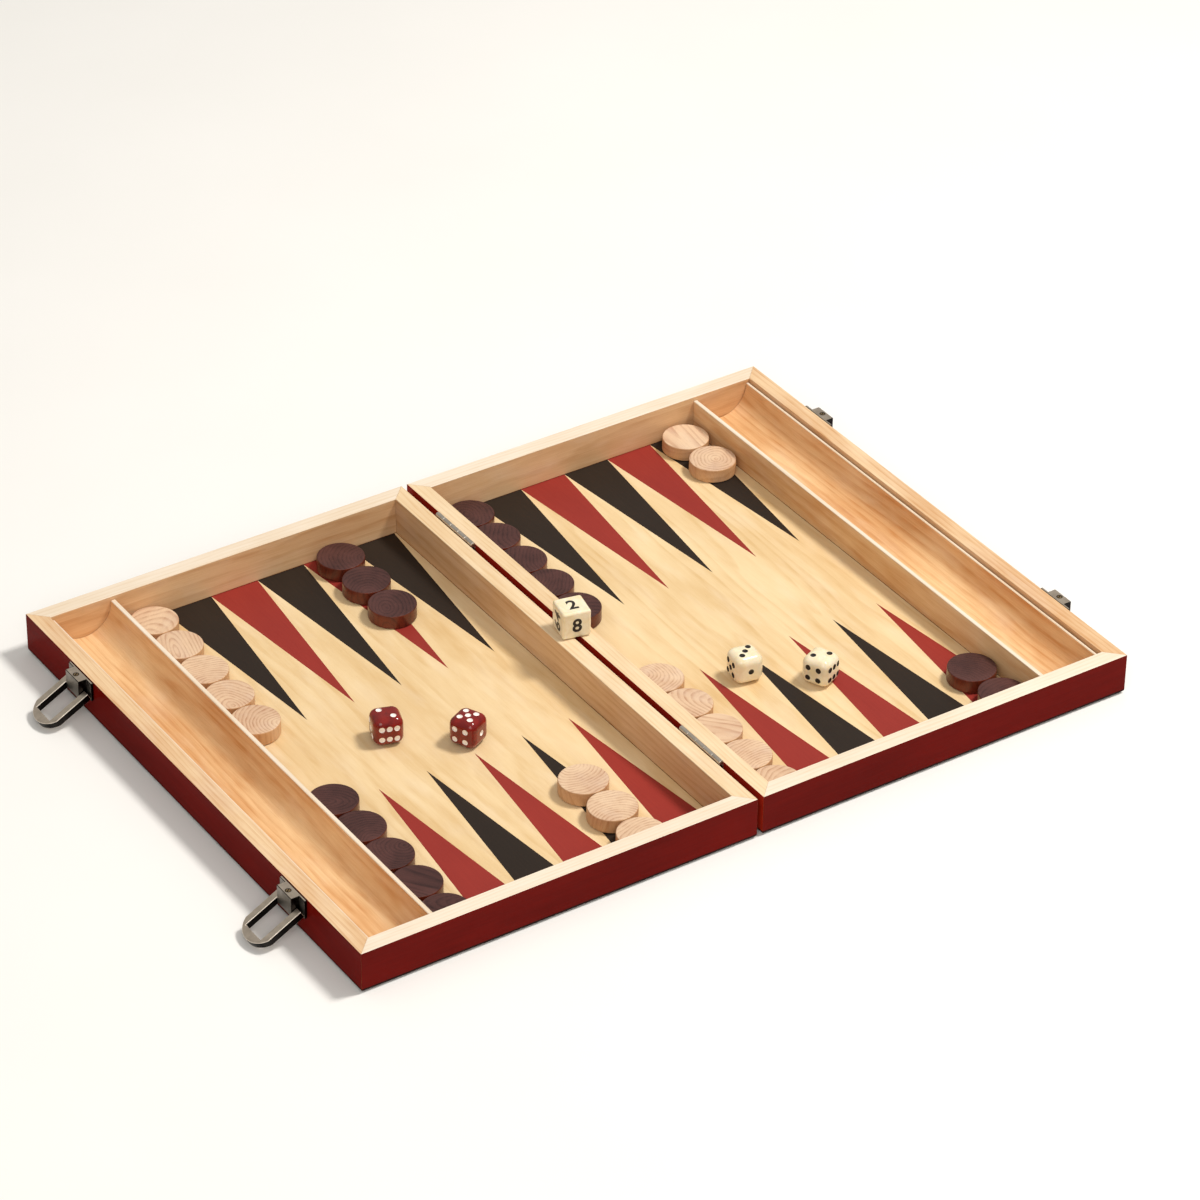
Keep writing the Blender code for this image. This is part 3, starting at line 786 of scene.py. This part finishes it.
def build_field(word, side, body, looks):
    """Playing field of maple with inlaid points along both long edges."""
    half = -box_mm(f"{word}_near_rail")[0].y - RAIL
    start = RAIL + INNER + FIELD_GAP
    end = min(abs(corner.x - HINGE.x) for corner in box_mm(f"{word}_trough")) - FIELD_GAP
    outline = field_outline(side, start, end, half)
    name = f"{word}_field_veneer"
    add_veneer(name, outline, looks["field"], body, (0, 3, 90), (side * 100, 60, 190))
    for row, sign in (("near", -1), ("far", 1)):
        for i in range(POINTS_PER_SIDE):
            colour = "red" if (i % 2 == 1) == (side * sign < 0) else "black"
            outline = [(side * u, sign * v) for u, v in point_outline(i, half)]
            name = f"{word}_{row}_point_{i + 1}_{colour}"
            add_veneer(name, outline, looks[colour], body, (0, 2, 90), (37 * i, 60 + 11 * i, 40))


def build_trough(word, side, body, looks):
    """Bearing-off trough moulding with a rounded divider, a half-round cove and a thin lip."""
    node = f"{word}_trough"
    low, high = box_mm(node)
    inner, outer = sorted((abs(low.x - HINGE.x), abs(high.x - HINGE.x)))
    left, right, top = inner + TROUGH_DIVIDER, outer - TROUGH_LIP, high.z
    middle, half, depth = (left + right) / 2, (right - left) / 2, top - low.z - TROUGH_FLOOR
    cove = [
        (middle - half * math.cos(math.pi * i / COVE_STEPS),
         top - COVE_EASE - (depth - COVE_EASE) * math.sin(math.pi * i / COVE_STEPS))
        for i in range(COVE_STEPS + 1)
    ]
    outline = [
        (inner, low.z),
        *arc((inner + TROUGH_ROUND, top - TROUGH_ROUND), TROUGH_ROUND, 180, 90, TROUGH_STEPS),
        (left - COVE_EASE, top), *cove, (right + COVE_EASE, top),
        *arc((outer - TROUGH_ROUND, top - TROUGH_ROUND), TROUGH_ROUND, 90, 0, TROUGH_STEPS),
        (outer, low.z),
    ]
    outline = [(side * u, z) for u, z in outline]
    heights = [z for _, z in outline]
    # the top faces take the paler rim maple: painted light on the moulding's top edges, which are the
    # same wood as the cove
    pale = top - 2 * COVE_EASE
    paints = [int(min(pair) > pale) for pair in zip(heights, heights[1:] + heights[:1])]
    shape = Shape()
    shape.sweep(outline, (low.y, high.y), along_y, paints, 0)
    mesh = shape.mesh(node, [looks["trough"], looks["end_rim"]])
    lay_grain(mesh, (0, 6, 90), (side * 170, 120, 65))
    add_piece(f"{word}_trough_wood", mesh, body, [node], spot(HINGE.x, 0, 0))


# ---- hinges

def add_screw(shape, segments, place):
    """A countersunk slotted head, its axis along the third coordinate."""
    shape.turn(SCREW_HEAD, segments, place, SCREW_PAINTS)
    shape.sweep(SCREW_SLOT, SCREW_SLOT_FACE, place, 1, 1)


def screw_looks(looks):
    """Bright head; painted shade for the ring and the slot."""
    return [looks["steel"], looks["nickel_edge"]]


def add_knuckle(shape, side, start, end):
    """One knuckle round the pin, and the neck that joins it to its leaf."""
    root = -KNUCKLE_RADIUS - NECK_ROOT
    neck = [
        (side * LEAF_INNER, root), (side * LEAF_OUTER, root),
        (side * LEAF_OUTER, NECK_TOP_OUTER), (side * LEAF_INNER, NECK_TOP_INNER),
    ]
    shape.sweep(neck, (start + NECK_INSET, end - NECK_INSET), along_y)
    ring = [
        (KNUCKLE_BORE, start), (KNUCKLE_RADIUS - KNUCKLE_BEVEL, start),
        (KNUCKLE_RADIUS, start + KNUCKLE_BEVEL), (KNUCKLE_RADIUS, end - KNUCKLE_BEVEL),
        (KNUCKLE_RADIUS - KNUCKLE_BEVEL, end), (KNUCKLE_BORE, end),
    ]
    shape.turn(ring, KNUCKLE_SEGMENTS, along_y, closed=True)


def leaf_shape(side, length):
    """A leaf standing in the gap between the trays, with every other knuckle."""
    shape = Shape()
    top = -KNUCKLE_RADIUS - LEAF_DROP
    plate = [
        (LEAF_INNER, -LEAF_DEPTH), (LEAF_OUTER, -LEAF_DEPTH), (LEAF_OUTER, top), (LEAF_INNER, top),
    ]
    shape.sweep([(side * x, z) for x, z in plate], (-length / 2, length / 2), along_y)
    pitch = length / KNUCKLES
    for index in range(0 if side > 0 else 1, KNUCKLES, 2):
        start = -length / 2 + index * pitch
        add_knuckle(shape, side, start + KNUCKLE_GAP, start + pitch - KNUCKLE_GAP)
    return shape


def leaf_screws(side, length):
    """Countersunk screw heads in the face a leaf shows when the case is shut."""
    shape = Shape()
    for step in (-1, 0, 1):
        across = step * length * LEAF_SCREW_SPREAD
        height = -LEAF_DEPTH * LEAF_SCREW_DEPTH - abs(step) * LEAF_SCREW_STAGGER

        def onto_leaf(x, y, z, across=across, height=height):
            return side * (LEAF_INNER - z), across + y, height + x

        add_screw(shape, LEAF_SCREW_SEGMENTS, onto_leaf)
    return shape


def build_hinge(label, looks):
    """Butt hinge in the gap between the trays: two leaves with knuckles, and the pin."""
    low, high = box_mm(f"hinge_{label}_pin")
    length = high.y - low.y
    place = spot(HINGE.x, (low.y + high.y) / 2, HINGE.z)
    for side, word in ((1, "right"), (-1, "left")):
        node = f"hinge_{label}_{word}_leaf"
        mesh = leaf_shape(side, length).mesh(node, [looks["hinge"]])
        lay_grain(mesh, (0, 0, 90), (side * 60, 10, 5))
        add_piece(f"{node}_metal", mesh, f"{word}_half", [node], place)
        mesh = leaf_screws(side, length).mesh(f"{node}_screws", screw_looks(looks))
        lay_grain(mesh, (30, 0, 90))
        add_piece(f"{node}_screws", mesh, f"{word}_half", (), place)

    node = f"hinge_{label}_pin"
    half, tip = length / 2, PIN_RADIUS - PIN_BEVEL
    shape = Shape()
    pin = [(tip, -half), (PIN_RADIUS, PIN_BEVEL - half), (PIN_RADIUS, half - PIN_BEVEL), (tip, half)]
    shape.turn(pin, PIN_SEGMENTS, along_y)
    mesh = shape.mesh(node, [looks["steel"]])
    lay_grain(mesh, (0, 0, 90))
    add_piece(f"{node}_steel", mesh, "right_half", [node], place)


# ---- latches

def latch_outline():
    """Outline of a latch block as (out from the rail, along the rail)."""
    half = [
        (FLANGE_BACK, FLANGE_HALF), (FLANGE_FACE, FLANGE_HALF),
        (FLANGE_FACE, BLOCK_HALF), (BLOCK_FACE, BLOCK_HALF),
    ]
    return half + [(out, -along) for out, along in reversed(half)]


def add_block_screw(node, body, looks, place):
    """Slotted screw in a block's rim-side face."""
    shape = Shape()
    add_screw(shape, BLOCK_SCREW_SEGMENTS, upright)
    mesh = shape.mesh(f"{node}_screw", screw_looks(looks))
    lay_grain(mesh, (0, 0, 30))
    add_piece(f"{node}_screw", mesh, body, (), place)


def add_block_rivets(node, side, body, looks, place, height):
    """A nearly flush rivet in each flank, low enough for the bail to pass."""
    shape = Shape()
    for end in (-1, 1):
        def onto_flank(x, y, z, end=end):
            return side * RIVET_OUT + x, end * (BLOCK_HALF + z), RIVET_UP * height + y

        shape.turn(RIVET_DOME, RIVET_SEGMENTS, onto_flank)
    # the rivets take the near-black nickel of the flanks: a painted dark reflection
    mesh = shape.mesh(f"{node}_rivets", [looks["nickel_edge"]])
    lay_grain(mesh, (0, 0, 0), (side * 20, 3, 3))
    add_piece(f"{node}_rivets", mesh, body, (), place)


def build_latch_block(node, side, body, looks):
    """Flanged block with a screw and two rivets; the faces turned outwards carry a painted shade, and
    the flanks, ends, back and rounded edges a near-black painted reflection.
    """
    low, high = box_mm(node)
    middle = (low.y + high.y) / 2
    rail = (low.x + BLOCK_FACE) if side < 0 else (high.x - BLOCK_FACE)
    height = high.z - low.z
    place = spot(rail, middle, low.z)
    # top and bottom keep the satin nickel; the outer faces take the painted shade, the rest the
    # near-black painted reflection
    pale, dark, outward = range(3)
    paints = [dark, outward, dark, outward, dark, outward, dark, dark]
    shape = Shape()
    shape.sweep(latch_outline(), (0.0, height), lambda out, y, z: (side * out, y, z), paints, pale)
    mesh = shape.mesh(node, [looks[k] for k in ("nickel", "nickel_edge", "nickel_shade")])
    lay_grain(mesh, (0, 0, 90), (side * 40, 7, 3))
    piece = add_piece(f"{node}_metal", mesh, body, [node], place)
    soften(piece, dark)
    top = spot(rail + side * SCREW_OUT, middle, high.z, SCREW_TURN)
    add_block_screw(node, body, looks, top)
    add_block_rivets(node, side, body, looks, place, height)


def bail_outline():
    """U-shaped outline of (distance from the pivot, across)."""
    radius = (BAIL_HALF**2 + BAIL_SAG**2) / (2 * BAIL_SAG)
    sweep = math.degrees(math.asin(BAIL_HALF / radius))
    nose = arc((BAIL_TIP - radius, 0.0), radius, sweep, -sweep, BAIL_STEPS)
    return [
        (-BAIL_HEEL, BAIL_HALF), *nose, (-BAIL_HEEL, -BAIL_HALF), (-BAIL_HEEL, -BAIL_WINDOW),
        (BAIL_WINDOW_END, -BAIL_WINDOW), (BAIL_WINDOW_END, BAIL_WINDOW), (-BAIL_HEEL, BAIL_WINDOW),
    ]


def build_bail(label, body, looks):
    """Swinging bail, hanging from its pivot with its nose near the table."""
    node = f"latch_{label}_bail"
    joint = next(j for j in frame["joints"] if j["child"] == body)
    pivot = Vector(joint["pos_m"]) / MM
    # flat faces keep the satin nickel; the sides and pegs take the near-black painted reflection, the
    # rounded edges the painted highlight
    pale, dark, bright = range(3)
    half = BAIL_THICKNESS / 2
    shape = Shape()
    shape.sweep(bail_outline(), (-half, half), lambda a, b, z: (-a, b, z), dark, pale)
    for sign in (-1, 1):
        shape.turn(PEG, PIN_SEGMENTS, lambda x, z, y, s=sign: (x, s * y, z), dark)
    mesh = shape.mesh(node, [looks[k] for k in ("nickel", "nickel_edge", "nickel_arris")])
    lay_grain(mesh, (0, 0, 0), (30, 15, 8))
    place = spot(*pivot) @ Matrix.Rotation(math.radians(-BAIL_DROOP), 4, "Y")
    piece = add_piece(f"{node}_metal", mesh, body, [node], place)
    soften(piece, bright)


# ---- loose pieces

def checker_profile():
    """Half section of a checker as (radius, height), with faces dished by a hair."""
    flat = CHECKER_RADIUS - CHECKER_EASE
    corner = CHECKER_RADIUS - CHECKER_ROUND
    top = CHECKER_HEIGHT - CHECKER_ROUND
    return [
        (flat / 2, CHECKER_DISH), (flat, 0.0),
        *arc((corner, CHECKER_ROUND), CHECKER_ROUND, 270, 360, CHECKER_LOWER_STEPS),
        (CHECKER_RADIUS - CHECKER_WAIST, CHECKER_HEIGHT / 2),
        *arc((corner, top), CHECKER_ROUND, 0, CHECKER_UPPER_END, CHECKER_UPPER_STEPS),
        (flat, CHECKER_HEIGHT), (flat / 2, CHECKER_HEIGHT - CHECKER_DISH),
    ]


def build_checker(node, looks):
    """Turned disc with eased edges; the fibres stand upright, so the faces show end grain."""
    low, high = box_mm(node)
    centre = (low + high) / 2
    profile = checker_profile()
    face, side = range(2)
    below, above = 1, 3             # bands of the profile that belong to the two faces
    between = len(profile) - 1 - below - above
    paints = [face] * below + [side] * between + [face] * above
    shape = Shape()
    shape.turn(profile, CHECKER_SEGMENTS, upright, paints)
    kind = "light" if "light" in node else "dark"
    mesh = shape.mesh(node, [looks[f"{kind}_top"], looks[f"{kind}_side"]])
    dice = random.Random(node)
    pith = dice.uniform(5, 24)
    lay_grain(mesh, (0, 90, dice.uniform(0, 360)), (dice.uniform(0, 500), pith, pith * 0.4))
    place = spot(centre.x, centre.y, low.z, dice.uniform(0, 360))
    add_piece(f"{node}_wood", mesh, node, [node], place, weighted=True)


def rounded_cube(edge, radius, segments):
    """Mesh of a cube about its middle, with all its edges and corners rounded."""
    bm = bmesh.new()
    bmesh.ops.create_cube(bm, size=edge)
    bmesh.ops.bevel(
        bm, geom=bm.edges[:], offset=radius, segments=segments, profile=0.5, affect="EDGES"
    )
    return to_mesh(bm, "rounded_cube")


def face_matrix(face, edge):
    """Frame on a cube's face: X right and Y up seen from outside, Z outwards."""
    normal, right = (Vector(v) for v in FACE_FRAMES[face])
    up = normal.cross(right)
    turn = Matrix((right, up, normal)).transposed().to_4x4()
    return Matrix.Translation(normal * edge / 2) @ turn


def pip_places(value):
    """Where the pips of a face are, in steps; a negative value's diagonal rises."""
    slope = -1 if value > 0 else 1
    count = abs(value)
    places = [(0, 0)] if count % 2 else []
    if count >= 2:
        places += [(-1, -slope), (1, slope)]
    if count >= 4:
        places += [(-1, slope), (1, -slope)]
    if count == 6:
        places = [(SIX_STRETCH * right, up) for right, up in places] + [(0, 1), (0, -1)]
    return places


def carve(block, cutter, name, materials):
    """Cut one mesh in millimetres out of another; cut faces keep the cutter's material."""
    for material in materials:
        block.materials.append(material)
    body, tool = (new_object(mesh.name, mesh) for mesh in (block, cutter))
    modifier = body.modifiers.new("carve", "BOOLEAN")
    modifier.operation = "DIFFERENCE"
    modifier.solver = "EXACT"
    modifier.object = tool
    depsgraph = bpy.context.evaluated_depsgraph_get()
    carved = bpy.data.meshes.new_from_object(body.evaluated_get(depsgraph))
    carved.name = name
    carved.transform(Matrix.Scale(MM, 4))
    for helper in (body, tool):
        bpy.data.objects.remove(helper)
    return carved


def pip_cutters(values, edge):
    """Lathe-turned cutters for the pips of every face."""
    cutter = Shape()
    for face, value in values.items():
        for right, up in pip_places(value):
            shift = Matrix.Translation((right * PIP_SPREAD, up * PIP_SPREAD, 0))
            place = face_matrix(face, edge) @ shift

            def onto_face(x, y, z, place=place):
                return place @ Vector((x, y, z))

            cutter.turn(PIP_PROFILE, PIP_SEGMENTS, onto_face, 1)
    return cutter


def build_die(node, looks):
    """Die with soft corners and dished, painted pips."""
    low, high = box_mm(node)
    centre = (low + high) / 2
    edge = high.z - low.z
    turn, values = DICE[node]
    kind, mark = ("red", "white") if "red" in node else ("ivory", "black")
    materials = [looks[f"{kind}_resin"], looks[f"{mark}_paint"]]
    cutters = pip_cutters(values, edge).mesh(f"{node}_pips", materials, 1)
    block = rounded_cube(edge, DIE_ROUND, DIE_ROUND_STEPS)
    mesh = carve(block, cutters, node, materials)
    lay_grain(mesh, (20, 30, 40), (len(node) * 31, 90, 10))
    place = spot(*centre, turn)
    add_piece(f"{node}_resin", mesh, node, [node], place, RESIN_SHARP, weighted=True)


def numeral_solid(text):
    """Closed solid of a centred numeral, its face in the plane z = 0, in millimetres."""
    curve = bpy.data.curves.new(f"numeral_{text}", "FONT")
    curve.body = text
    curve.offset = NUMERAL_BOLD
    curve.extrude = NUMERAL_EXTRUDE
    curve.resolution_u = NUMERAL_STEPS
    curve.space_character = NUMERAL_SPACING
    letter = new_object(curve.name, curve)
    depsgraph = bpy.context.evaluated_depsgraph_get()
    mesh = bpy.data.meshes.new_from_object(letter.evaluated_get(depsgraph))
    bpy.data.objects.remove(letter)
    xs = [v.co.x for v in mesh.vertices]
    ys = [v.co.y for v in mesh.vertices]
    scale = NUMERAL_HEIGHT / (max(ys) - min(ys))
    front = Vector(((max(xs) + min(xs)) / 2, (max(ys) + min(ys)) / 2, NUMERAL_EXTRUDE))
    resize = Matrix.Diagonal((scale, scale, NUMERAL_DEPTH, 1))
    mesh.transform(resize @ Matrix.Translation(-front))
    return mesh


def build_doubling_cube(looks):
    """Ivory cube with black numerals inlaid almost flush."""
    node = "doubling_cube"
    low, high = box_mm(node)
    centre = (low + high) / 2
    edge = high.z - low.z
    bm = bmesh.new()
    bm.from_mesh(rounded_cube(edge - 2 * PAINT_FILM, CUBE_ROUND, CUBE_ROUND_STEPS))
    resin_faces = len(bm.faces)
    for face, (text, quarters) in CUBE_FACES.items():
        solid = numeral_solid(text)
        turn = Matrix.Rotation(math.radians(90 * quarters), 4, "Z")
        solid.transform(face_matrix(face, edge) @ turn)
        bm.from_mesh(solid)
    bm.faces.ensure_lookup_table()
    for part in bm.faces[resin_faces:]:
        part.material_index = 1
    mesh = to_mesh(bm, node)
    mesh.transform(Matrix.Scale(MM, 4))
    for material in (looks["ivory_resin"], looks["black_paint"]):
        mesh.materials.append(material)
    lay_grain(mesh, (15, 25, 35), (60, 20, 90))
    place = spot(*centre, CUBE_TURN)
    add_piece(f"{node}_resin", mesh, node, [node], place, RESIN_SHARP, weighted=True)


# ---- studio

def build_stage():
    """A plain pale floor."""
    bm = bmesh.new()
    bmesh.ops.create_grid(bm, x_segments=2, y_segments=2, size=FLOOR_REACH)
    mesh = to_mesh(bm, "floor")
    mesh.materials.append(paper_floor())
    floor = new_object("floor", mesh)
    floor.location.z = -FLOOR_DROP


def add_softbox(name, direction, distance, size, power, colour):
    """A round area light that looks at the middle of the set."""
    lamp = bpy.data.lights.new(name, "AREA")
    lamp.shape = "DISK"
    lamp.size = size
    lamp.energy = power
    lamp.color = colour
    light = new_object(name, lamp)
    back = Vector(direction).normalized()
    light.location = back * distance
    light.rotation_euler = back.to_track_quat("Z", "Y").to_euler()


def light_world():
    """Surroundings that grow brighter towards the zenith."""
    world = bpy.data.worlds.new("studio")
    world.use_nodes = True
    sky = world.node_tree
    background = sky.nodes["Background"]
    background.inputs["Strength"].default_value = WORLD_STRENGTH
    height = sky.nodes.new("ShaderNodeSeparateXYZ")
    shade = sky.nodes.new("ShaderNodeValToRGB")
    for element, colour in zip(shade.color_ramp.elements, (HORIZON, ZENITH)):
        element.color = colour
    directions = sky.nodes.new("ShaderNodeTexCoord").outputs["Generated"]
    sky.links.new(directions, height.inputs[0])
    sky.links.new(height.outputs["Z"], shade.inputs["Fac"])
    sky.links.new(shade.outputs["Color"], background.inputs["Color"])
    bpy.context.scene.world = world
    bpy.context.scene.view_settings.view_transform = "Standard"


def place_camera():
    lens = bpy.data.cameras.new("camera")
    lens.lens = CAMERA_LENS
    lens.sensor_width = SENSOR_WIDTH
    camera = new_object("camera", lens)
    camera.location = CAMERA_PLACE
    camera.rotation_euler = [math.radians(a) for a in CAMERA_TURN]
    bpy.context.scene.camera = camera


def main():
    looks = {**case_materials(), **metal_materials(), **loose_materials()}
    for word, side in (("right", 1), ("left", -1)):
        body = f"{word}_half"
        build_rail(f"{word}_near_rail", body, looks, "end", 0)
        build_rail(f"{word}_far_rail", body, looks, "end", 180)
        build_rail(f"{word}_outer_rail", body, looks, "side", 90 * side)
        build_rail(f"{word}_hinge_rail", body, looks, "hinge", -90 * side)
        build_panel(word, side, body, looks)
        build_field(word, side, body, looks)
        build_trough(word, side, body, looks)
    for label in ("near", "far"):
        build_hinge(label, looks)
        build_latch_block(f"latch_{label}_base", -1, "left_half", looks)
        build_latch_block(f"latch_{label}_catch", 1, "right_half", looks)
        build_bail(label, f"bail_{label}", looks)
    for node in sorted(frame["nodes"]):
        if node.startswith("checker_"):
            build_checker(node, looks)
        elif node.startswith("die_"):
            build_die(node, looks)
    build_doubling_cube(looks)
    build_stage()
    add_softbox("key_softbox", *KEY_LIGHT)
    add_softbox("fill_softbox", *FILL_LIGHT)
    light_world()
    place_camera()


main()
